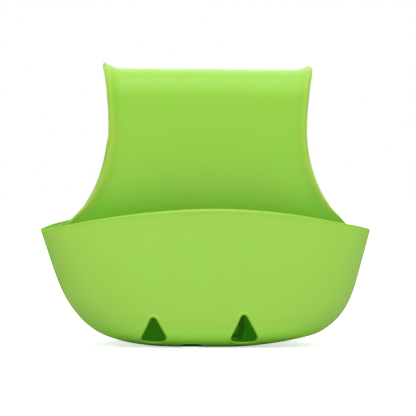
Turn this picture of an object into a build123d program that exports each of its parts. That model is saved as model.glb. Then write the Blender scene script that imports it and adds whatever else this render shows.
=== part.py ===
"""Kitchen sink caddy: two soft pockets on one strap that hangs over the divider of a double sink.

Millimetres. X is the width, the front pocket is toward -Y, Z is up, and the part stands on z = 0.
The origin lies under the middle of the strap. The rear half is the front half turned about Z.
"""
import math
import os

from build123d import *

# Sheet and divider
sheet_thickness = 3.0
divider_gap = 34.0

# Height of the strap's crest and of the mouth's tips
crest_height = 186.0
tip_height = 77.0

# Half widths seen from the front
tip_half_width = 110.0
waist_half_width = 65.2
crest_half_width = 67.4

# The shoulder is a quarter ellipse that flares from the waist and runs a little past the tip
waist_climb = 68.0
shoulder_overreach = 5.2

# The strap's side edges curl away from the divider, from a little above the tips
curl_climb = 27.0
curl_radius = 34.0
curl_angle = 30.0
shoulder_curl_angle = 8.0
strap_sections = 5

# Pocket bowl
pocket_depth = 38.0
pocket_wall = 2.5
pocket_floor = 2.5
side_lean = 18.5
front_lean = 3.0
corner_height = 33.0
corner_power = 2.7
belly_height = 20.0
belly_power = 2.2
foot_flat = 0.6
inner_corner_radius = 4.0
corner_sections = 6
side_step = 17.0
refinements = 20

# Mouth of the pocket and its rolled bead
mouth_rise = 14.5
bead_radius = 1.7
bead_end_gap = 7.0

# Drain holes in the front wall, one drain in the panel and one slot in the floor
drain_width = 19.5
drain_height = 19.3
drain_corner_radius = 2.4
drain_side_margin = 8.8
drain_spacing = 60.0
drain_shift = -10.0
panel_drain_width = 46.0
panel_drain_bottom = 5.0
panel_drain_height = 27.0
panel_drain_corner = 5.0
slot_width = 16.0
slot_shift = -13.0
slot_start = 4.0
slot_reach = 16.5
slot_corner = 3.0
cut_overrun = 10.0

# The rear half faces the other way, and the bend spans the same turn
half_turn = 180.0

# Sizes that follow from the ones above
inner_radius = divider_gap / 2
outer_radius = inner_radius + sheet_thickness
bend_height = crest_height - outer_radius
drain_side = math.hypot(drain_width / 2, drain_height)
shoulder_width = tip_half_width - waist_half_width + shoulder_overreach
shoulder_drop = waist_climb / math.sqrt(1 - (shoulder_overreach / shoulder_width) ** 2)
waist_height = tip_height + waist_climb
curl_height = tip_height + curl_climb
bead_half_span = tip_half_width - bead_end_gap
mouth_slope = mouth_rise / pocket_depth
mouth_top = tip_height + mouth_rise + cut_overrun
mouth_plane = Plane(origin=(0, -outer_radius, tip_height), x_dir=(1, 0, 0), z_dir=(0, mouth_slope, 1))


def strap_half_width(height):
    """Half width of the strap at a height above the pocket tips."""
    if height > waist_height:
        climb = (height - waist_height) / (bend_height - waist_height)
        return waist_half_width + (crest_half_width - waist_half_width) * climb**2
    drop = (waist_height - height) / shoulder_drop
    return waist_half_width + shoulder_width * (1 - math.sqrt(1 - drop**2))


def rounding(height, full_height, power):
    """Share of the full size that a rounded lower edge leaves at a height."""
    if height >= full_height:
        return 1.0
    return (1 - (1 - height / full_height) ** power) ** (1 / power)


def bowl_half_width(height):
    """Half width of the pocket at a height above its foot."""
    side = tip_half_width - (tip_height - height) * math.tan(math.radians(side_lean))
    return side * rounding(height + foot_flat, corner_height, corner_power)


def bowl_height(half_width):
    """Height above the foot at which the pocket reaches a half width."""
    low = 0
    high = corner_height
    for attempt in range(refinements):
        middle = (low + high) / 2
        if bowl_half_width(middle) < half_width:
            low = middle
        else:
            high = middle
    return low


def bowl_depth(height):
    """How far the pocket stands out from the panel at a height above its foot."""
    front = pocket_depth - (tip_height - height) * math.tan(math.radians(front_lean))
    return front * rounding(height + foot_flat, belly_height, belly_power)


def bulge(x, half_width, depth):
    """Depth at x of a circular arc that spans the half width and reaches the depth."""
    radius = (half_width**2 + depth**2) / (2 * depth)
    return math.sqrt(radius**2 - x**2) - radius + depth


def mouth_run(x):
    """Distance along the sloping mouth from the panel to the middle of the wall at x."""
    depth = 0
    for attempt in range(refinements):
        height = tip_height + mouth_slope * depth
        depth = bulge(x, bowl_half_width(height), bowl_depth(height)) - pocket_wall / 2
    return depth * math.sqrt(1 + mouth_slope**2)


corner_heights = [corner_height * (step / corner_sections) ** 2 for step in range(corner_sections + 1)]
side_sections = max(2, round((mouth_top - corner_height) / side_step))
side_rise = (mouth_top - corner_height) / side_sections
bowl_heights = corner_heights + [corner_height + step * side_rise for step in range(1, side_sections + 1)]
strap_step = (bend_height - curl_height) / (strap_sections - 1)
strap_heights = [curl_height + step * strap_step for step in range(strap_sections)]


def strap_section(height, angle):
    """Section of the curled strap, a sheet whose ends turn toward -Y."""
    flat = strap_half_width(height) - curl_radius * math.sin(math.radians(angle))
    with BuildSketch(Plane.XY.offset(height)) as section:
        with BuildLine():
            back = Line((0, -inner_radius), (flat, -inner_radius))
            back_curl = JernArc(back @ 1, (1, 0), curl_radius, -angle)
            front = Line((0, -outer_radius), (flat, -outer_radius))
            front_curl = JernArc(front @ 1, (1, 0), curl_radius - sheet_thickness, -angle)
            Line(back_curl @ 1, front_curl @ 1)
            mirror(about=Plane.YZ)
        make_face()
    return section.sketch


def bowl_section(height, wall):
    """Section of the bowl, an arc closed by the panel's face; a wall above zero gives the cavity."""
    half_width = bowl_half_width(height)
    depth = bowl_depth(height)
    radius = (half_width**2 + depth**2) / (2 * depth)
    centre_depth = radius - depth
    inner_half_width = math.sqrt((radius - wall) ** 2 - centre_depth**2)
    with BuildSketch(Plane.XY.offset(height + (pocket_floor if wall else 0))) as section:
        with BuildLine():
            left = (-inner_half_width, -outer_radius)
            right = (inner_half_width, -outer_radius)
            ThreePointArc(left, (0, -outer_radius - depth + wall), right)
            Line(right, left)
        make_face()
        if wall:
            fillet(section.vertices(), min(inner_corner_radius, depth / 4))
    return section.sketch


# Arched bend over the divider, open below and curled at both ends
with BuildPart() as saddle_bend:
    add(strap_section(bend_height, curl_angle))
    revolve(axis=Axis((0, 0, bend_height), (-1, 0, 0)), revolution_arc=half_turn)

# Front panel, flat behind the pocket, with flaring shoulders and a curled strap above
bowl_edge = [(bowl_half_width(height), height) for height in corner_heights]
shoulder_heights = [tip_height + curl_climb * (step / strap_sections) ** 2 for step in range(strap_sections + 1)]
shoulder_edge = [(strap_half_width(height), height) for height in shoulder_heights]
with BuildPart() as front_panel:
    with BuildSketch(Plane.XZ.offset(inner_radius)):
        with BuildLine():
            Line((0, 0), bowl_edge[0])
            Spline(*bowl_edge)
            Line(bowl_edge[-1], shoulder_edge[0])
            Spline(*shoulder_edge)
            Line(shoulder_edge[-1], (0, curl_height))
            mirror(about=Plane.YZ)
        make_face()
    extrude(amount=sheet_thickness)
    for step, height in enumerate(strap_heights):
        turn = (curl_angle - shoulder_curl_angle) * step / (strap_sections - 1)
        add(strap_section(height, shoulder_curl_angle + turn))
    loft()
    with BuildSketch(Plane.XZ.offset(inner_radius - cut_overrun)):
        with Locations((0, panel_drain_bottom + panel_drain_height / 2)):
            RectangleRounded(panel_drain_width, panel_drain_height, panel_drain_corner)
    extrude(amount=sheet_thickness + 2 * cut_overrun, mode=Mode.SUBTRACT)

# Inside of the front pocket
with BuildPart() as front_cavity:
    for height in bowl_heights:
        add(bowl_section(height, pocket_wall))
    loft()

# Front pocket, a bowl that leans out from the panel, with its drain holes
drain_reach = abs(drain_shift) + (drain_spacing + drain_width) / 2
drain_bottom = bowl_height(drain_reach + drain_side_margin)
with BuildPart() as front_pocket:
    for height in bowl_heights:
        add(bowl_section(height, 0))
    loft()
    add(front_cavity.part, mode=Mode.SUBTRACT)
    split(bisect_by=mouth_plane, keep=Keep.BOTTOM)
    with BuildSketch(Plane.XZ.offset(outer_radius)) as drains:
        with Locations((drain_shift, drain_bottom + drain_height / 2)):
            with GridLocations(drain_spacing, 0, 2, 1):
                Triangle(a=drain_width, b=drain_side, c=drain_side)
        fillet(drains.vertices(), drain_corner_radius)
    extrude(amount=pocket_depth + cut_overrun, mode=Mode.SUBTRACT)
    with BuildSketch(Plane.XY.offset(-cut_overrun)):
        with Locations((slot_shift, -outer_radius - (slot_start + slot_reach) / 2)):
            RectangleRounded(slot_width, slot_reach - slot_start, slot_corner)
    extrude(amount=2 * cut_overrun, mode=Mode.SUBTRACT)

# Rolled bead along the front pocket's mouth, flat where it sits on the wall
with BuildPart() as front_mouth_rim:
    with BuildLine(mouth_plane) as mouth_path:
        bead_end = mouth_run(bead_half_span)
        ThreePointArc((-bead_half_span, -bead_end), (0, -mouth_run(0)), (bead_half_span, -bead_end))
    start = Plane(mouth_path.line @ 0, x_dir=mouth_plane.z_dir, z_dir=mouth_path.line % 0)
    with BuildSketch(start) as bead:
        Circle(bead_radius)
        Rectangle(bead_radius, 2 * bead_radius, align=(Align.MIN, Align.CENTER), mode=Mode.INTERSECT)
    sweep(path=mouth_path.line)

# The rear half is the front half turned round, so its off-centre holes lie toward the other side
with BuildPart() as rear_panel:
    add(front_panel.part, rotation=(0, 0, half_turn))

with BuildPart() as rear_pocket:
    add(front_pocket.part, rotation=(0, 0, half_turn))

with BuildPart() as rear_mouth_rim:
    add(front_mouth_rim.part, rotation=(0, 0, half_turn))

pieces = {
    "saddle_bend": saddle_bend,
    "front_panel": front_panel,
    "front_pocket": front_pocket,
    "front_mouth_rim": front_mouth_rim,
    "rear_panel": rear_panel,
    "rear_pocket": rear_pocket,
    "rear_mouth_rim": rear_mouth_rim,
}
os.makedirs("parts", exist_ok=True)
for name, piece in pieces.items():
    piece.part.label = name
    export_step(piece.part, f"parts/{name}.step")
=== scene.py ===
import math

import bmesh
import bpy
from mathutils import Matrix, Vector
from mathutils.geometry import intersect_point_line


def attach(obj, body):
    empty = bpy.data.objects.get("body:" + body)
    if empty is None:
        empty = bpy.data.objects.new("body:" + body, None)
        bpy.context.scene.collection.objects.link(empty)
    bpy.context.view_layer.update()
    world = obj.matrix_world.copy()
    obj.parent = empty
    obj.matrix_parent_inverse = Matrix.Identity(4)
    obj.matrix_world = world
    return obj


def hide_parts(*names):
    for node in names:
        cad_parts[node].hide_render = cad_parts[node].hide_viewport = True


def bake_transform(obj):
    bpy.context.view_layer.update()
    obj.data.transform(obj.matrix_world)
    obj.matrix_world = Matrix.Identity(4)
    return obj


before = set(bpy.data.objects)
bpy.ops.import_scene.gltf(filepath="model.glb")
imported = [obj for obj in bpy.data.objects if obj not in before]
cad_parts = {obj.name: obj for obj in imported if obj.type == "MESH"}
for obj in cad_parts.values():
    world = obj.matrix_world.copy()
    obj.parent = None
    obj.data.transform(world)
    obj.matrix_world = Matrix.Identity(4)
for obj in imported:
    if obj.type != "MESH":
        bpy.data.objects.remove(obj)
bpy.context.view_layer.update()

# Sizes of the caddy are in millimetres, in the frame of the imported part
MM = 0.001

# The caddy's left and right side, as the photograph shows them
LEFT = -1
RIGHT = 1

# Sheet that makes the two panels and the bend over the divider
sheet_thickness = 3.0
divider_gap = 34.0
crest_height = 186.0
half_sheet = sheet_thickness / 2
middle_radius = (divider_gap + sheet_thickness) / 2
face_radius = divider_gap / 2 + sheet_thickness
bend_height = crest_height - face_radius
bend_length = math.pi * middle_radius
path_length = 2 * bend_height + bend_length

# Outline seen from the front, a little different left and right
tip_height = 77.0
tip_reach = {LEFT: 111.8, RIGHT: 108.8}
shoulders = {
    LEFT: {"waist": 68.4, "height": 151.0, "width": 38.4, "drop": 70.7},
    RIGHT: {"waist": 65.8, "height": 145.9, "width": 48.2, "drop": 68.8},
}
shoulder_foot = 88.0
shoulder_slope = 0.9
bends = {LEFT: {"foot": 69.35, "crest": 73.1}, RIGHT: {"foot": 67.1, "crest": 71.3}}
bend_power = 1.6

# The left edge is tucked in on both shoulders, and at the rear trimmed further, most on the strap
left_tuck = 0.75
rear_left_trim = {"shoulder": 1.6, "strap": 4.6}
trim_start = 132.0
trim_run = 24.0

# Ledge on which the sheet widens from the bowl's edge to the shoulder, just under the tips
ledge_start = 76.2
ledge_slope = 4.0
rear_left_ledge_slope = 3.3
skin_inset = 0.15

# Curl of the sheet's side edges away from the divider, with its angles in degrees
curl_start = 78.2
curl_run = 13.0
strap_curl = 20.0
strap_curl_rise = 34.0
crest_curl = {LEFT: 38.0, RIGHT: 33.5}
crest_curl_start = 104.0
crest_curl_rise = 75.0

# How far the outer face stops short of the inner one at the sheet's end
slants = {LEFT: {"crest": -1.2, "strap": 0.7}, RIGHT: {"crest": 1.0, "strap": 1.1}}
strap_slant_rise = 14.0
crest_slant_start = 183.0
crest_slant_rise = 12.0

# Edge of the sheet: distance in from its slanted end, and offset from the sheet's middle surface
edge_profile = (
    (2.0, 1.5), (1.6, 1.54), (1.3, 1.6), (1.05, 1.56), (0.85, 1.4), (0.65, 1.3), (0.45, 1.36), (0.2, 1.34),
    (0.05, 1.2), (0.0, 0.9), (0.0, 0.3), (0.0, -0.4), (0.0, -1.0), (0.08, -1.28), (0.3, -1.45), (0.7, -1.5),
)

# Points across half a section of the sheet: wide steps in the middle, then a fine strip up to the edge
edge_reach = 3.8
edge_strip = 15.0
middle_steps = 14
strip_steps = 10

# Sections along a leg of the sheet: each stretch with its end and its number of steps
foot_stretch = 34.0
foot_steps = 18
leg_stretches = ((ledge_start, 10), (ledge_start + 5.0, 12), (ledge_start + 30.0, 16), (bend_height, 20))
bend_steps = 40

# Bowl of a pocket and its wall
pocket_depth = 38.0
pocket_wall = 2.5
bowl_sides = {
    LEFT: {"lean": 18.8, "corner": 62.5, "power": 3.95, "foot_pull": 2.6},
    RIGHT: {"lean": 14.9, "corner": 52.4, "power": 3.5, "foot_pull": 9.8},
}
foot_pull_height = 9.0
front_lean = 3.0
low_power = 3.3
rim_power = 2.5
rim_power_start = 52.0
rim_power_rise = 34.0
side_round = 1.25
corner_height = 33.0
belly_height = 20.0
belly_power = 2.2
foot_flat = 0.6
web_reach = 2.5
root_depth = 1.4

# The floor closes in loops that are counted below zero and shrink toward the middle
floor_run = 6.0
floor_middle = 0.02

# Mouth of a pocket, its tips, lifted over stated shares of the half width, and its rolled lip
mouth_rise = 14.8
mouth_power = 1.86
mouth_skew = 2.0
front_tip_lift = {"height": 1.7, "start": 0.65, "run": 0.35}
rear_tip_lift = {"height": 1.0, "start": 0.5, "run": 0.3, "end": 1.04, "end_run": 0.15}
lip_radius = 1.8
tip_lip_radius = 1.1
lip_sink = 1.0
lip_span = 0.97

# Points round a pocket's wall, up it, and round its lip
wall_steps = 110
floor_steps = 8
corner_steps = 22
corner_crowding = 1.8
side_steps = 24
lip_steps = 90
lip_points = 14
turn_probe = 0.02
height_probe = 0.4

# Two drains in a pocket's wall, each with a low rim
left_drain = {"place": -38.2, "apex": -1.8, "width": 18.6, "height": 19.0}
right_drain = {"place": 21.3, "apex": -1.5, "width": 20.4, "height": 20.8}
drain_bottom = 4.6
drain_belly = 1.0
drain_corner = 2.7
drain_apex_radius = 2.1
drain_belly_radius = 24.0
drain_cut = (-21.0, -80.0)
drain_rim = 0.85
drain_rim_sink = 0.45
drain_rim_spacing = 1.5
drain_rim_points = 8

# Slot in a pocket's floor
slot_middle = -12.6
slot_width = 13.0
slot_start = 8.0
slot_reach = 18.6
slot_corner = 3.0
slot_cut = (-5.0, 6.0)

# Drain in each panel
panel_drain_width = 49.0
panel_drain_bottom = 5.0
panel_drain_height = 27.0
panel_drain_corner = 5.0
panel_drain_round = 0.6
panel_cut = (-40.0, 40.0)

# One soft skin over each pocket, and the sharp edges of the sheet that are rounded
skin_grain = 0.7
skin_passes = 4
skin_ease = 0.5
sharp_angle = math.radians(50)
round_steps = 3

# Where the finish changes: widths of bands on the surface, such as the painted highlight along edges, lip and
# drains and the painted shadow in the slot, and how far in and down the painted shade inside starts
edge_highlight_band = 5.0
lip_highlight_band = 1.1
drain_highlight_band = 1.0
drain_top = 28.0
side_band = 3.5
inside_shade_depth = 1.2
inside_shade_drop = 2.5
root_shade_band = 0.8
slot_band = 0.6
slot_lead = 1.0
slot_top = 4.0
sheet_inside_shade_top = ledge_start + 1.5

# How far a face has to point sideways, outward, up or back to the panel to get a finish, a painted highlight
# or a painted shade
side_turn = 0.35
edge_turn = -0.3
slot_turn = 0.85
root_turn = 0.4
outer_direction = Vector((0, -1, -0.6))

# Studio: strength of its light from each direction, and its floor, in metres
side_light = 0.2
key_light = 2.05
key_spread = 4
key_height = math.radians(42)
top_light = 0.4
lamp_power = 6.0
lamp_size = (1.4, 0.8)
lamp_place = Vector((0, -0.35, 1.3))
lamp_aim = Vector((0, 0, 0.12))
floor_glow = 0.6
floor_half = 6
white = (1, 1, 1, 1)
paper_tone = (0.8, 0.8, 0.8, 1)

# Camera, in metres and radians; one pixel of the picture covers pixel_size at the middle of the caddy
camera_azimuth = math.radians(-5.5)
camera_elevation = math.radians(1.0)
camera_roll = math.radians(0.36)
camera_distance = 1.8
camera_aim = Vector((0, 0, 0.095))
pixel_size = 0.000677
pixels_right = 1.57
pixels_down = 4.4
picture_width = 416
lens_start = 0.05

# Width of the camera's sensor, in millimetres
sensor_width = 36.0

# Finish and painted shades: tones, a second tone that takes over by height as painted shade (painted light at
# the pocket's foot), the heights in metres between which it takes over, and range of roughness
finish_and_shade_values = {
    # strap_green turns darker and more saturated from 115 mm down to 83 mm: painted shade where the pocket's
    # front wall keeps light off the strap above its mouth
    "strap_green": {
        "tone": (0.222, 0.50, 0.0205), "mottle": (0.248, 0.485, 0.0225), "light_and_shade_by_height": (0.165, 0.50, 0.0035),
        "light_and_shade_heights": (0.115, 0.083), "roughness": (0.40, 0.50), "gloss": 0.5,
    },
    # pocket_green turns lighter and greener over its lowest 20 mm: painted light at the pocket's foot. Its
    # painted side shade darkens the wall where it turns to its sides
    "pocket_green": {
        "tone": (0.262, 0.515, 0.047), "mottle": (0.278, 0.495, 0.046), "light_and_shade_by_height": (0.36, 0.80, 0.063),
        "light_and_shade_heights": (0.020, 0.0), "roughness": (0.46, 0.56), "gloss": 0.4, "painted_side_shade": (0.72, 0.785, 0.40),
    },
    # inside_shade_green is a shaded copy of the plastic, rougher and less glossy: painted shade inside the
    # pockets, on the panels behind them and on faces turned to the divider gap, darker still below 76 mm
    "inside_shade_green": {
        "tone": (0.165, 0.50, 0.0035), "mottle": (0.165, 0.50, 0.0035), "light_and_shade_by_height": (0.10, 0.436, 0.018),
        "light_and_shade_heights": (0.076, 0.05), "roughness": (0.7, 0.8), "gloss": 0.15,
    },
    # edge_highlight_green is a lighter, yellower copy of the plastic: painted highlight along the lip, round
    # the drains and on the sheet's curled side edges, darkening below 98 mm like the strap's painted shade
    "edge_highlight_green": {
        "tone": (0.283, 0.52, 0.037), "mottle": (0.30, 0.51, 0.039), "light_and_shade_by_height": (0.21, 0.47, 0.012),
        "light_and_shade_heights": (0.098, 0.082), "roughness": (0.42, 0.52), "gloss": 0.5,
    },
    "slot_shade": {
        "tone": (0.012, 0.10, 0.003), "mottle": (0.014, 0.106, 0.004), "light_and_shade_by_height": (0.012, 0.10, 0.003),
        "light_and_shade_heights": (0.01, 0.0), "roughness": (0.7, 0.8), "gloss": 0.1,
    },
}
finishes_and_shades = {}


def eased(share):
    """Smooth rise from 0 to 1."""
    share = min(1.0, max(0.0, share))
    return share * share * (3 - 2 * share)


def share_steps(count, low=0.0, high=1.0):
    """Evenly spaced values from low to high, with both ends."""
    return [low + (high - low) * step / count for step in range(count + 1)]


def circle(centre, first, second, radius, count):
    """Points of a circle in the plane of two directions."""
    angles = [2 * math.pi * step / count for step in range(count)]
    return [centre + (first * math.cos(angle) + second * math.sin(angle)) * radius for angle in angles]


def rounding(height, full_height, power):
    """Share of the full size that a rounded lower edge leaves at a height."""
    if height >= full_height:
        return 1.0
    return max(0.0, 1 - max(0.0, 1 - height / full_height) ** power) ** (1 / power)


def pocket_half_width(height, side):
    """Reach of the pocket toward one of its sides at a height."""
    form = bowl_sides[side]
    reach = tip_reach[side] - (tip_height - height) * math.tan(math.radians(form["lean"]))
    pull = form["foot_pull"] * (1 - eased(height / foot_pull_height))
    return reach * rounding(height + foot_flat, form["corner"], form["power"]) - pull


def pocket_depth_at(height):
    """How far the pocket stands out from the panel at a height."""
    front = pocket_depth - (tip_height - height) * math.tan(math.radians(front_lean))
    return front * rounding(height + foot_flat, belly_height, belly_power)


def below_waist(height):
    """Share that falls from 1 on the shoulder to 0 at the waist."""
    return 1 - eased((height - trim_start) / trim_run)


def shoulder_half_width(height, side):
    """Half width of the sheet between the tips and the waist, and up to the bend."""
    form = shoulders[side]
    if height > form["height"]:
        climb = (height - form["height"]) / (bend_height - form["height"])
        return form["waist"] + (bends[side]["foot"] - form["waist"]) * climb**2
    drop = (form["height"] - max(height, shoulder_foot)) / form["drop"]
    flare = form["width"] * (1 - math.sqrt(1 - drop * drop))
    tuck = left_tuck * below_waist(height) if side == LEFT else 0.0
    return form["waist"] + flare - tuck + shoulder_slope * max(0.0, shoulder_foot - height)


def sheet_half_width(along, side):
    """Half width of the sheet at a distance along its middle from the front foot."""
    near = min(along, path_length - along)
    if near < ledge_start:
        return pocket_half_width(near - skin_inset, side) - skin_inset
    trim = 0.0
    if side == LEFT:
        trim = rear_left_trim["strap"] * eased((along - bend_height) / bend_length)
    if near < bend_height:
        if trim > 0:
            trim += (rear_left_trim["shoulder"] - trim) * below_waist(near)
        slope = rear_left_ledge_slope if side == LEFT and along > near else ledge_slope
        ledge = pocket_half_width(ledge_start, side) - 2 * skin_inset - slope * (near - ledge_start)
        return max(ledge, shoulder_half_width(near, side) - trim)
    bend = bends[side]
    turn = (near - bend_height) / middle_radius
    return bend["foot"] + (bend["crest"] - bend["foot"]) * math.sin(turn) ** bend_power - trim


def sheet_curl(along, side):
    """Angle of the curled edge, in radians, at a distance along the sheet."""
    near = min(along, path_length - along)
    if near < curl_start:
        return 0.0
    lower = strap_curl * eased((near - curl_start) / strap_curl_rise)
    upper = (crest_curl[side] - strap_curl) * eased((near - crest_curl_start) / crest_curl_rise)
    return math.radians(lower + upper)


def sheet_slant(along, side):
    """How far the outer face stops short of the sheet's end."""
    near = min(along, path_length - along)
    crest = slants[side]["crest"]
    strap = slants[side]["strap"]
    toward_crest = (crest - strap) * eased((near - crest_slant_start) / crest_slant_rise)
    return strap * eased((near - curl_start) / strap_slant_rise) + toward_crest


def sheet_point(along, side, share, offset):
    """Point of the sheet at a share of its half width and an offset from its middle surface."""
    curl = sheet_curl(along, side)
    half = sheet_half_width(along, side)
    run = curl_run if curl > 0 else 0.0
    bent = run * math.sin(curl) / curl if curl > 0 else 0.0
    flat = half - half_sheet * math.sin(curl) - bent
    distance = share * (flat + run)
    x = distance
    rise = 0.0
    angle = 0.0
    if distance > flat:
        angle = curl * (distance - flat) / run
        x = flat + run / curl * math.sin(angle)
        rise = run / curl * (1 - math.cos(angle))
    x = side * (x - offset * math.sin(angle))
    radius = middle_radius + rise + offset * math.cos(angle)
    if along <= bend_height:
        return Vector((x, -radius, along))
    if along >= path_length - bend_height:
        return Vector((x, radius, path_length - along))
    turn = (along - bend_height) / middle_radius
    return Vector((x, -radius * math.cos(turn), bend_height + radius * math.sin(turn)))


def sheet_section(along, side):
    """Points of half a section, from the middle of the outer face round the edge to the inner face."""
    half = sheet_half_width(along, side)
    slant = sheet_slant(along, side)
    last = half - edge_reach
    middle = [last * share for share in share_steps(middle_steps, 0.0, (last - edge_strip) / last)]
    strip = [last - edge_strip + edge_strip * share for share in share_steps(strip_steps)]
    section = [(distance, half_sheet) for distance in middle + strip[1:]]
    for inset, offset in edge_profile:
        section.append((half - slant * (offset + half_sheet) / sheet_thickness - inset, offset))
    section += [(distance, -half_sheet) for distance in reversed(middle[:-1] + strip)]
    return [sheet_point(along, side, distance / half, offset) for distance, offset in section]


def closed_skin(name, loops, cap=None, ring=False):
    """Closed mesh through loops of equal length.

    Both ends get one face, or the given ones, unless the last loop joins the first as a ring.
    """
    count = len(loops[0])
    rows = len(loops) if ring else len(loops) - 1
    faces = []
    if not ring:
        cap = cap or [tuple(range(count))]
        faces += [face[::-1] for face in cap]
        faces += [tuple(rows * count + step for step in face) for face in cap]
    for row in range(rows):
        low = row * count
        high = (row + 1) % len(loops) * count
        for step in range(count):
            after = (step + 1) % count
            faces.append((low + step, low + after, high + after, high + step))
    mesh = bpy.data.meshes.new(name)
    mesh.from_pydata([point * MM for loop in loops for point in loop], [], faces)
    work = bmesh.new()
    work.from_mesh(mesh)
    bmesh.ops.recalc_face_normals(work, faces=work.faces)
    work.to_mesh(mesh)
    work.free()
    piece = bpy.data.objects.new(name, mesh)
    bpy.context.scene.collection.objects.link(piece)
    return piece


def settle(piece):
    """Makes the piece's modifiers part of its mesh."""
    seen = piece.evaluated_get(bpy.context.evaluated_depsgraph_get())
    mesh = bpy.data.meshes.new_from_object(seen)
    mesh.name = piece.name
    piece.modifiers.clear()
    piece.data = mesh


def cut(piece, cutters):
    """Cuts each cutter's room out of the piece."""
    for cutter in cutters:
        hole = piece.modifiers.new("opening", "BOOLEAN")
        hole.operation = "DIFFERENCE"
        hole.solver = "EXACT"
        hole.object = cutter
    settle(piece)
    for cutter in cutters:
        bpy.data.objects.remove(cutter)


def soften(piece):
    """Gives the piece one even skin, with every edge and inner corner rounded as in a mould."""
    skin = piece.modifiers.new("one_skin", "REMESH")
    skin.mode = "VOXEL"
    skin.voxel_size = skin_grain * MM
    skin.adaptivity = 0
    skin.use_smooth_shade = True
    ease = piece.modifiers.new("soft_edges", "SMOOTH")
    ease.factor = skin_ease
    ease.iterations = skin_passes
    settle(piece)
    for face in piece.data.polygons:
        face.use_smooth = True


def join_into(piece, other):
    """Adds the other piece's faces to the piece."""
    both = bmesh.new()
    both.from_mesh(piece.data)
    both.from_mesh(other.data)
    both.to_mesh(piece.data)
    both.free()
    bpy.data.objects.remove(other)


def round_edges(piece, low, high, width):
    """Rounds the piece's sharp edges that lie between a lowest and a highest corner."""
    work = bmesh.new()
    work.from_mesh(piece.data)
    sharp = []
    for edge in work.edges:
        middle = (edge.verts[0].co + edge.verts[1].co) / 2 / MM
        inside = all(low[axis] < middle[axis] < high[axis] for axis in range(3))
        if inside and len(edge.link_faces) == 2 and edge.calc_face_angle() > sharp_angle:
            sharp.append(edge)
    bmesh.ops.bevel(work, geom=sharp, offset=width * MM, segments=round_steps, profile=0.5, affect="EDGES")
    work.to_mesh(piece.data)
    work.free()


def rounded_outline(corners, radii, steps=6):
    """Points of a polygon in a plane with each corner rounded to its radius."""
    points = []
    for index, (corner, radius) in enumerate(zip(corners, radii)):
        before = (corners[index - 1] - corner).normalized()
        after = (corners[(index + 1) % len(corners)] - corner).normalized()
        half = before.angle(after) / 2
        centre = corner + (before + after).normalized() * radius / math.sin(half)
        start = corner + before * radius / math.tan(half) - centre
        end = corner + after * radius / math.tan(half) - centre
        for step in range(steps + 1):
            points.append(centre + start.slerp(end, step / steps).normalized() * radius)
    return points


def rounded_rectangle(left, right, low, high, radius):
    """Outline of a rectangle with round corners."""
    corners = [Vector((left, low)), Vector((right, low)), Vector((right, high)), Vector((left, high))]
    return rounded_outline(corners, [radius] * len(corners))


def drain_outline(drain, steps=6):
    """Outline of a drain, a triangle with round corners and a base that bellies downward."""
    place = drain["place"]
    half = drain["width"] / 2
    corners = [
        Vector((place - half, drain_bottom)),
        Vector((place, drain_bottom - drain_belly)),
        Vector((place + half, drain_bottom)),
        Vector((place + drain["apex"], drain_bottom + drain["height"])),
    ]
    radii = [drain_corner, drain_belly_radius, drain_corner, drain_apex_radius]
    return rounded_outline(corners, radii, steps)


def front_cutter(name, outline, depths):
    """Cutter whose outline is seen from the front and runs between two depths."""
    loops = [[Vector((point.x, depth, point.y)) for point in outline] for depth in depths]
    return closed_skin(name, loops)


def floor_cutter(name, outline, heights):
    """Cutter whose outline is seen from above and runs between two heights."""
    loops = [[Vector((point.x, point.y, height)) for point in outline] for height in heights]
    return closed_skin(name, loops)


def make_sheet():
    """Both panels and the bend between them, one sheet with curled edges and a drain in each panel."""
    leg = [max(2 * skin_inset, foot_stretch * share**2) for share in share_steps(foot_steps)]
    start = foot_stretch
    for end, steps in leg_stretches:
        leg += share_steps(steps, start, end)[1:]
        start = end
    bend = share_steps(bend_steps, bend_height, path_length - bend_height)[1:-1]
    loops = []
    for along in leg + bend + [path_length - along for along in reversed(leg)]:
        left = sheet_section(along, LEFT)
        loops.append(sheet_section(along, RIGHT) + left[::-1][1:-1])
    sheet = closed_skin("saddle_sheet", loops)
    half = panel_drain_width / 2
    top = panel_drain_bottom + panel_drain_height
    outline = rounded_rectangle(-half, half, panel_drain_bottom, top, panel_drain_corner)
    cut(sheet, [front_cutter("panel_drain", outline, panel_cut)])
    margin = 2 * panel_drain_round
    low = (-half - margin, panel_cut[0], panel_drain_bottom - margin)
    high = (half + margin, panel_cut[1], top + margin)
    round_edges(sheet, low, high, panel_drain_round)
    for face in sheet.data.polygons:
        face.use_smooth = True
    sheet.data.set_sharp_from_angle(angle=sharp_angle)
    return sheet


def wall_point(turn, height, facing):
    """Point on the outer face of a pocket that faces the front, 1, or is to be turned to the rear, -1.

    The turn runs from -1 to 1 between the pocket's two side edges.
    """
    foot = min(1.0, max(floor_middle, 1 + height / floor_run))
    level = max(0.0, height)
    share = math.sin(turn * math.pi / 2)
    side = facing if turn > 0 else -facing
    x = share * pocket_half_width(level, side) * foot
    power = low_power + (rim_power - low_power) * eased((level - rim_power_start) / rim_power_rise)
    out = pocket_depth_at(level) * foot * max(0.0, 1 - abs(share) ** power) ** (1 / side_round)
    return Vector((x, -face_radius - out, level))


def wall_turn(x, height, facing):
    """Turn at which a pocket's wall passes a sideways place."""
    share = x / pocket_half_width(height, facing if x > 0 else -facing)
    return math.asin(max(-1.0, min(1.0, share))) / math.pi * 2


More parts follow.
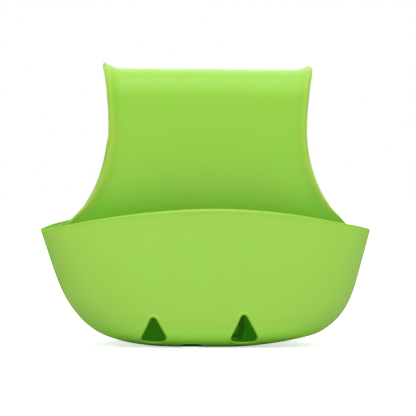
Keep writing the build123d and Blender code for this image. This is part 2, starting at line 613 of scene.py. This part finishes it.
def inner_wall_point(turn, height, facing):
    """Point on the pocket's inner face, with a web where it meets the panel."""
    point = wall_point(turn, height, facing)
    left = wall_point(max(-1.0, turn - turn_probe), height, facing)
    right = wall_point(min(1.0, turn + turn_probe), height, facing)
    above = wall_point(turn, height + height_probe, facing)
    below = wall_point(turn, height - height_probe, facing)
    inward = (right - left).cross(above - below).normalized()
    if inward.dot(Vector((0, -face_radius, point.z + corner_height)) - point) < 0:
        inward = -inward
    inside = point + inward * pocket_wall
    gap = -face_radius - inside.y
    if gap > 0:
        inside.y = -face_radius - gap * (1 - math.exp(-gap / web_reach))
    return inside


def mouth_height(turn, facing):
    """Height of the mouth, which arches up to a crown a little right of the front pocket's middle."""
    share = math.sin(turn * math.pi / 2)
    skew = mouth_skew / tip_reach[LEFT] * (1 - share * share) * facing
    tip = front_tip_lift if facing > 0 else rear_tip_lift
    lift = tip["height"] * eased((share - tip["start"]) / tip["run"])
    if facing < 0:
        lift *= eased((tip["end"] - share) / tip["end_run"])
    return tip_height + mouth_rise * (1 - abs(share - skew) ** mouth_power) + lift


def make_lip(name, facing):
    """Rolled edge along the mouth, thinner toward the tips."""
    turns = share_steps(lip_steps, -lip_span, lip_span)
    middle = []
    for turn in turns:
        height = mouth_height(turn, facing) - lip_sink
        middle.append((wall_point(turn, height, facing) + inner_wall_point(turn, height, facing)) / 2)
    loops = []
    for index, point in enumerate(middle):
        ahead = (middle[min(index + 1, len(middle) - 1)] - middle[max(index - 1, 0)]).normalized()
        side = ahead.cross(Vector((0, 0, 1))).normalized()
        radius = lip_radius + (tip_lip_radius - lip_radius) * math.sin(turns[index] * math.pi / 2) ** 2
        loops.append(circle(point, side, side.cross(ahead), radius, lip_points))
    return closed_skin(name, loops)


def make_drain_rim(name, outline, facing):
    """Low rounded rim round a drain on the wall's outer face."""
    middle = []
    for index, corner in enumerate(outline):
        after = outline[(index + 1) % len(outline)]
        steps = max(1, round((after - corner).length / drain_rim_spacing))
        for step in range(steps):
            spot = corner + (after - corner) * step / steps
            middle.append(wall_point(wall_turn(spot.x, spot.y, facing), spot.y, facing))
    centre = sum(middle, Vector()) / len(middle)
    rings = []
    for index, point in enumerate(middle):
        ahead = (middle[(index + 1) % len(middle)] - middle[index - 1]).normalized()
        out = (point - centre).cross(ahead)
        front = out.normalized() if out.y < 0 else -out.normalized()
        away = front.cross(ahead)
        away = away if away.dot(point - centre) > 0 else -away
        base = point + away * drain_rim - front * drain_rim * drain_rim_sink
        rings.append(circle(base, front, away, drain_rim, drain_rim_points))
    return closed_skin(name, rings, ring=True)


def make_shell(name, facing):
    """A pocket: bowl wall, floor and rolled lip, with its drains and floor slot."""
    turns = share_steps(wall_steps, -1.0, 1.0)
    rows = [[-floor_run + floor_run * share] * len(turns) for share in share_steps(floor_steps)]
    rows += [[corner_height * share**corner_crowding] * len(turns) for share in share_steps(corner_steps)[1:]]
    rises = [mouth_height(turn, facing) - corner_height for turn in turns]
    rows += [[corner_height + rise * share for rise in rises] for share in share_steps(side_steps)[1:]]
    back = Vector((0, root_depth, 0))
    loops = []
    for heights in rows:
        outer = [wall_point(turn, height, facing) for turn, height in zip(turns, heights)]
        inner = [inner_wall_point(turn, height, facing) for turn, height in zip(turns, heights)]
        loops.append([outer[0] + back] + outer + [outer[-1] + back] + inner[::-1])

    # Both ends are closed by faces from the outer to the inner side of the wall
    count = len(turns)
    cap = [(1 + step, 2 + step, 2 * count - step, 2 * count + 1 - step) for step in range(count - 1)]
    cap += [(0, 1, 2 * count + 1), (count, count + 1, count + 2)]
    shell = closed_skin(name, loops, cap)

    cutters = [front_cutter("drain", drain_outline(drain), drain_cut) for drain in (left_drain, right_drain)]
    left = slot_middle - slot_width / 2
    right = slot_middle + slot_width / 2
    slot = rounded_rectangle(left, right, -face_radius - slot_reach, -face_radius - slot_start, slot_corner)
    cutters.append(floor_cutter("floor_slot", slot, slot_cut))
    cut(shell, cutters)
    join_into(shell, make_lip(name + "_lip", facing))
    rims = [drain_outline(drain, 3) for drain in (left_drain, right_drain)]
    for rim in rims:
        join_into(shell, make_drain_rim(name + "_drain_rim", rim, facing))
    soften(shell)

    def choose(face):
        return shell_finish_and_shade(face, rims, facing)

    dress(shell, ("pocket_green", "inside_shade_green", "slot_shade", "edge_highlight_green"), choose)
    if facing < 0:
        shell.data.transform(Matrix.Rotation(math.pi, 4, "Z"))
    return shell


def beside_drain(spot, outlines):
    """Whether a spot, seen from the front, lies on the narrow rim of one of the drains."""
    spot = Vector((spot.x, spot.z, 0))
    for outline in outlines:
        for index, corner in enumerate(outline):
            start = outline[index - 1].to_3d()
            end = corner.to_3d()
            near, share = intersect_point_line(spot, start, end)
            near = start if share < 0 else end if share > 1 else near
            if (near - spot).length < drain_highlight_band:
                return True
    return False


def shell_finish_and_shade(face, rims, facing):
    """Finish of a face of a pocket that still faces the front: a painted highlight on the lip and round the
    drains, a painted shadow in the floor slot, and a shaded copy of the plastic inside and where the wall
    meets the panel.
    """
    spot = face.center / MM
    turn = wall_turn(spot.x, spot.z, facing)
    depth = -spot.y - face_radius
    inward = -wall_point(turn, spot.z, facing).y - face_radius - depth
    below_mouth = mouth_height(turn, facing) - spot.z
    # The lip and the drain rims get the painted highlight
    if below_mouth < lip_highlight_band:
        return "edge_highlight_green"
    if inward < drain_highlight_band and spot.z < drain_top and beside_drain(spot, rims):
        return "edge_highlight_green"
    beside_slot = abs(spot.x - slot_middle) < slot_width / 2 + slot_band
    in_slot = beside_slot and slot_start - slot_lead < depth < slot_reach
    if in_slot and spot.z < slot_top and abs(face.normal.z) < slot_turn:
        return "slot_shade"
    # Faces looking into the pocket, and those facing the panel at the wall's root, get the painted shade
    looks_in = face.normal.dot(outer_direction) < 0
    if looks_in and below_mouth > inside_shade_drop and inward > inside_shade_depth:
        return "inside_shade_green"
    if face.normal.y > root_turn and depth < root_shade_band:
        return "inside_shade_green"
    return "pocket_green"


def sheet_finish_and_shade(face):
    """Finish of a face of the sheet, by its height and by how near it lies to the side edge: a shaded copy of
    the plastic low down except on the sides, a painted highlight along the side edge.
    """
    spot = face.center / MM
    side = LEFT if spot.x < 0 else RIGHT
    if spot.z < sheet_inside_shade_top:
        reach = pocket_half_width(min(spot.z, tip_height), side)
        at_side = abs(spot.x) > reach - side_band and abs(face.normal.x) > side_turn
        return "pocket_green" if at_side else "inside_shade_green"
    rise = max(0.0, spot.z - bend_height)
    outward = Vector((0, spot.y, rise)).normalized()
    near = spot.z if rise == 0 else bend_height + middle_radius * math.atan2(rise, abs(spot.y))
    half = sheet_half_width(near if spot.y < 0 else path_length - near, side)
    in_edge_highlight = abs(spot.x) > half - edge_highlight_band and face.normal.dot(outward) > edge_turn
    return "edge_highlight_green" if in_edge_highlight else "strap_green"


def dress(piece, names, choose):
    """Gives the piece its materials, painted shades among them, and each face the one that is chosen for it
    by name.
    """
    for name in names:
        piece.data.materials.append(finishes_and_shades[name])
    for face in piece.data.polygons:
        face.material_index = names.index(choose(face))


def new_node(nodes, kind, values=None, **settings):
    """Adds a node with its settings, and with values for its sockets by label or number."""
    node = nodes.new(kind)
    for name, setting in settings.items():
        setattr(node, name, setting)
    for socket, value in (values or {}).items():
        node.inputs[socket].default_value = value
    return node


def moulded_skin_group():
    """Faint mottling and fine grain of the moulded plastic, and a second tone that takes over below a height:
    painted shade on most materials and painted light at the pocket's foot.
    """
    group = bpy.data.node_groups.new("moulded_skin", "ShaderNodeTree")
    face = group.interface
    for label in ("Tone", "Mottle Tone", "Light And Shade Tone"):
        face.new_socket(label, in_out="INPUT", socket_type="NodeSocketColor")
    numbers = {"Mottle": 1.0, "Deep From": 0.1, "Deep To": 0.06, "Roughness Low": 0.4, "Roughness High": 0.5,
               "Grain Height": 0.00002}
    for label, value in numbers.items():
        face.new_socket(label, in_out="INPUT", socket_type="NodeSocketFloat").default_value = value
    face.new_socket("Colour", in_out="OUTPUT", socket_type="NodeSocketColor")
    face.new_socket("Roughness", in_out="OUTPUT", socket_type="NodeSocketFloat")
    face.new_socket("Normal", in_out="OUTPUT", socket_type="NodeSocketVector")
    nodes = group.nodes
    link = group.links.new
    given = nodes.new("NodeGroupInput").outputs
    out = nodes.new("NodeGroupOutput").inputs
    place = nodes.new("ShaderNodeTexCoord").outputs["Object"]

    cloud = new_node(nodes, "ShaderNodeTexNoise", {"Scale": 45.0, "Detail": 4.0})
    link(place, cloud.inputs["Vector"])
    patch = new_node(nodes, "ShaderNodeMapRange", {"From Min": 0.35, "From Max": 0.75})
    link(cloud.outputs["Fac"], patch.inputs["Value"])
    amount = new_node(nodes, "ShaderNodeMath", operation="MULTIPLY")
    link(patch.outputs["Result"], amount.inputs[0])
    link(given["Mottle"], amount.inputs[1])
    tone = new_node(nodes, "ShaderNodeMix", data_type="RGBA")
    link(amount.outputs[0], tone.inputs["Factor"])
    link(given["Tone"], tone.inputs["A"])
    link(given["Mottle Tone"], tone.inputs["B"])

    # Below a given height the tone gives way to a second one, which paints shade, and on the pocket paints
    # light at its foot
    height = nodes.new("ShaderNodeSeparateXYZ")
    link(place, height.inputs[0])
    depth = new_node(nodes, "ShaderNodeMapRange", interpolation_type="SMOOTHSTEP")
    link(height.outputs["Z"], depth.inputs["Value"])
    link(given["Deep From"], depth.inputs["From Min"])
    link(given["Deep To"], depth.inputs["From Max"])
    light_and_shade_by_height = new_node(nodes, "ShaderNodeMix", data_type="RGBA")
    link(depth.outputs["Result"], light_and_shade_by_height.inputs["Factor"])
    link(tone.outputs["Result"], light_and_shade_by_height.inputs["A"])
    link(given["Light And Shade Tone"], light_and_shade_by_height.inputs["B"])
    link(light_and_shade_by_height.outputs["Result"], out["Colour"])

    rough = new_node(nodes, "ShaderNodeMapRange", {"From Min": 0.3, "From Max": 0.7})
    link(cloud.outputs["Fac"], rough.inputs["Value"])
    link(given["Roughness Low"], rough.inputs["To Min"])
    link(given["Roughness High"], rough.inputs["To Max"])
    link(rough.outputs["Result"], out["Roughness"])

    grain = new_node(nodes, "ShaderNodeTexNoise", {"Scale": 1800.0, "Detail": 2.0})
    link(place, grain.inputs["Vector"])
    relief = new_node(nodes, "ShaderNodeBump", {"Strength": 0.35})
    link(given["Grain Height"], relief.inputs["Distance"])
    link(grain.outputs["Fac"], relief.inputs["Height"])
    link(relief.outputs["Normal"], out["Normal"])
    return group


def soft_plastic(name, group, tone, mottle, light_and_shade_by_height, light_and_shade_heights, roughness, gloss, painted_side_shade=None):
    """Satin moulded plastic in one tone of green, with a second tone that takes over toward the foot: painted
    shade on most materials and painted light at the pocket's foot.

    Where the surface turns from the pocket's front to its sides, its colour is multiplied by a painted side
    shade that stands for the light falling off there.
    """
    material = bpy.data.materials.new(name)
    material.use_nodes = True
    nodes = material.node_tree.nodes
    link = material.node_tree.links.new
    shader = nodes["Principled BSDF"]
    shader.inputs["IOR"].default_value = 1.5
    shader.inputs["Specular IOR Level"].default_value = gloss
    skin = new_node(nodes, "ShaderNodeGroup", node_tree=group)
    for label, shade in (("Tone", tone), ("Mottle Tone", mottle), ("Light And Shade Tone", light_and_shade_by_height)):
        skin.inputs[label].default_value = (*shade, 1)
    skin.inputs["Deep From"].default_value, skin.inputs["Deep To"].default_value = light_and_shade_heights
    skin.inputs["Roughness Low"].default_value, skin.inputs["Roughness High"].default_value = roughness
    colour = skin.outputs["Colour"]
    # Painted shade: the colour darkens where the normal turns away from the front and back, as light falling
    # off would darken it
    if painted_side_shade:
        place = nodes.new("ShaderNodeTexCoord")
        direction = nodes.new("ShaderNodeSeparateXYZ")
        link(place.outputs["Normal"], direction.inputs[0])
        outward = new_node(nodes, "ShaderNodeMath", operation="ABSOLUTE")
        link(direction.outputs["Y"], outward.inputs[0])
        share = new_node(nodes, "ShaderNodeMapRange", {"From Min": 0.8, "From Max": 0.4})
        link(outward.outputs[0], share.inputs["Value"])
        shaded = new_node(nodes, "ShaderNodeMix", data_type="RGBA", blend_type="MULTIPLY")
        shaded.inputs["B"].default_value = (*painted_side_shade, 1)
        link(share.outputs["Result"], shaded.inputs["Factor"])
        link(colour, shaded.inputs["A"])
        colour = shaded.outputs["Result"]
    link(colour, shader.inputs["Base Color"])
    link(skin.outputs["Roughness"], shader.inputs["Roughness"])
    link(skin.outputs["Normal"], shader.inputs["Normal"])
    return material


def make_surroundings():
    """White surroundings whose light comes mostly from high in front and high behind."""
    world = bpy.data.worlds.new("studio")
    bpy.context.scene.world = world
    world.use_nodes = True
    nodes = world.node_tree.nodes
    link = world.node_tree.links.new
    light = nodes["Background"]
    light.inputs["Color"].default_value = white

    def term(operation, first, second):
        node = new_node(nodes, "ShaderNodeMath", operation=operation)
        for socket, value in zip(node.inputs, (first, second)):
            if isinstance(value, (int, float)):
                socket.default_value = value
            else:
                link(value, socket)
        return node.outputs[0]

    direction = nodes.new("ShaderNodeTexCoord")
    split = nodes.new("ShaderNodeSeparateXYZ")
    link(direction.outputs["Generated"], split.inputs[0])
    upward = split.outputs["Z"]
    across = term("MULTIPLY", term("ABSOLUTE", split.outputs["Y"], 0), math.cos(key_height))
    toward = term("ADD", across, term("MULTIPLY", upward, math.sin(key_height)))
    key = term("POWER", term("MAXIMUM", toward, 0), key_spread)
    top = term("POWER", term("MAXIMUM", upward, 0), 2)
    both = term("ADD", term("MULTIPLY", key, key_light), term("MULTIPLY", top, top_light))
    link(term("ADD", both, side_light), light.inputs["Strength"])

    backdrop = new_node(nodes, "ShaderNodeBackground", {"Color": white})
    seen = nodes.new("ShaderNodeLightPath")
    choose = nodes.new("ShaderNodeMixShader")
    link(seen.outputs["Is Camera Ray"], choose.inputs["Fac"])
    link(light.outputs[0], choose.inputs[1])
    link(backdrop.outputs[0], choose.inputs[2])
    link(choose.outputs[0], nodes["World Output"].inputs["Surface"])


def make_floor():
    """Pale paper floor that looks as white as the photograph's background."""
    corners = [Vector((x * floor_half, y * floor_half, 0)) for x, y in ((-1, -1), (1, -1), (1, 1), (-1, 1))]
    mesh = bpy.data.meshes.new("floor")
    mesh.from_pydata(corners, [], [(0, 1, 2, 3)])
    floor = bpy.data.objects.new("floor", mesh)
    bpy.context.scene.collection.objects.link(floor)
    paper = bpy.data.materials.new("white_paper")
    paper.use_nodes = True
    nodes = paper.node_tree.nodes
    link = paper.node_tree.links.new
    values = {"Base Color": paper_tone, "Roughness": 0.9, "Specular IOR Level": 0.0, "Emission Color": white}
    shader = nodes["Principled BSDF"]
    for label, value in values.items():
        shader.inputs[label].default_value = value
    seen = nodes.new("ShaderNodeLightPath")
    glow = new_node(nodes, "ShaderNodeMath", {1: floor_glow}, operation="MULTIPLY")
    link(seen.outputs["Is Camera Ray"], glow.inputs[0])
    link(glow.outputs[0], shader.inputs["Emission Strength"])
    mesh.materials.append(paper)


def make_lamp():
    """Broad soft light above the caddy."""
    lamp = bpy.data.lights.new("overhead_panel", "AREA")
    lamp.shape = "RECTANGLE"
    lamp.size, lamp.size_y = lamp_size
    lamp.energy = lamp_power
    stand = bpy.data.objects.new("overhead_panel", lamp)
    stand.location = lamp_place
    stand.rotation_euler = (lamp_aim - lamp_place).to_track_quat("-Z", "Y").to_euler()
    bpy.context.scene.collection.objects.link(stand)


def make_camera():
    """Camera at the photograph's angle, a little to the left and barely above the middle."""
    level = math.cos(camera_elevation)
    right = Vector((math.cos(camera_azimuth), math.sin(camera_azimuth), 0))
    back = Vector((right.y * level, -right.x * level, math.sin(camera_elevation)))
    up = back.cross(right)
    centre = camera_aim + right * pixels_right * pixel_size - up * pixels_down * pixel_size
    lens = bpy.data.cameras.new("camera")
    lens.sensor_width = sensor_width
    lens.lens = sensor_width * camera_distance / pixel_size / picture_width
    lens.clip_start = lens_start
    camera = bpy.data.objects.new("camera", lens)
    across = right * math.cos(camera_roll) + up * math.sin(camera_roll)
    upright = up * math.cos(camera_roll) - right * math.sin(camera_roll)
    turn = Matrix((across, upright, back)).transposed()
    camera.matrix_world = Matrix.Translation(centre + back * camera_distance) @ turn.to_4x4()
    bpy.context.scene.collection.objects.link(camera)
    bpy.context.scene.camera = camera


bpy.context.scene.view_settings.view_transform = "Standard"
make_camera()
make_floor()
make_surroundings()
make_lamp()

skin_group = moulded_skin_group()
for name, values in finish_and_shade_values.items():
    finishes_and_shades[name] = soft_plastic(name, skin_group, **values)

# One sheet stands for both panels and the bend between them
sheet = make_sheet()
dress(sheet, ("strap_green", "inside_shade_green", "pocket_green", "edge_highlight_green"), sheet_finish_and_shade)
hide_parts("saddle_bend", "front_panel", "rear_panel")
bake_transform(sheet)

# A shell with its lip stands for each pocket and its rim, and rides on its half
for half, facing in (("front", 1), ("rear", -1)):
    shell = make_shell(half + "_pocket_shell", facing)
    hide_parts(half + "_pocket", half + "_mouth_rim")
    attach(shell, half + "_half")
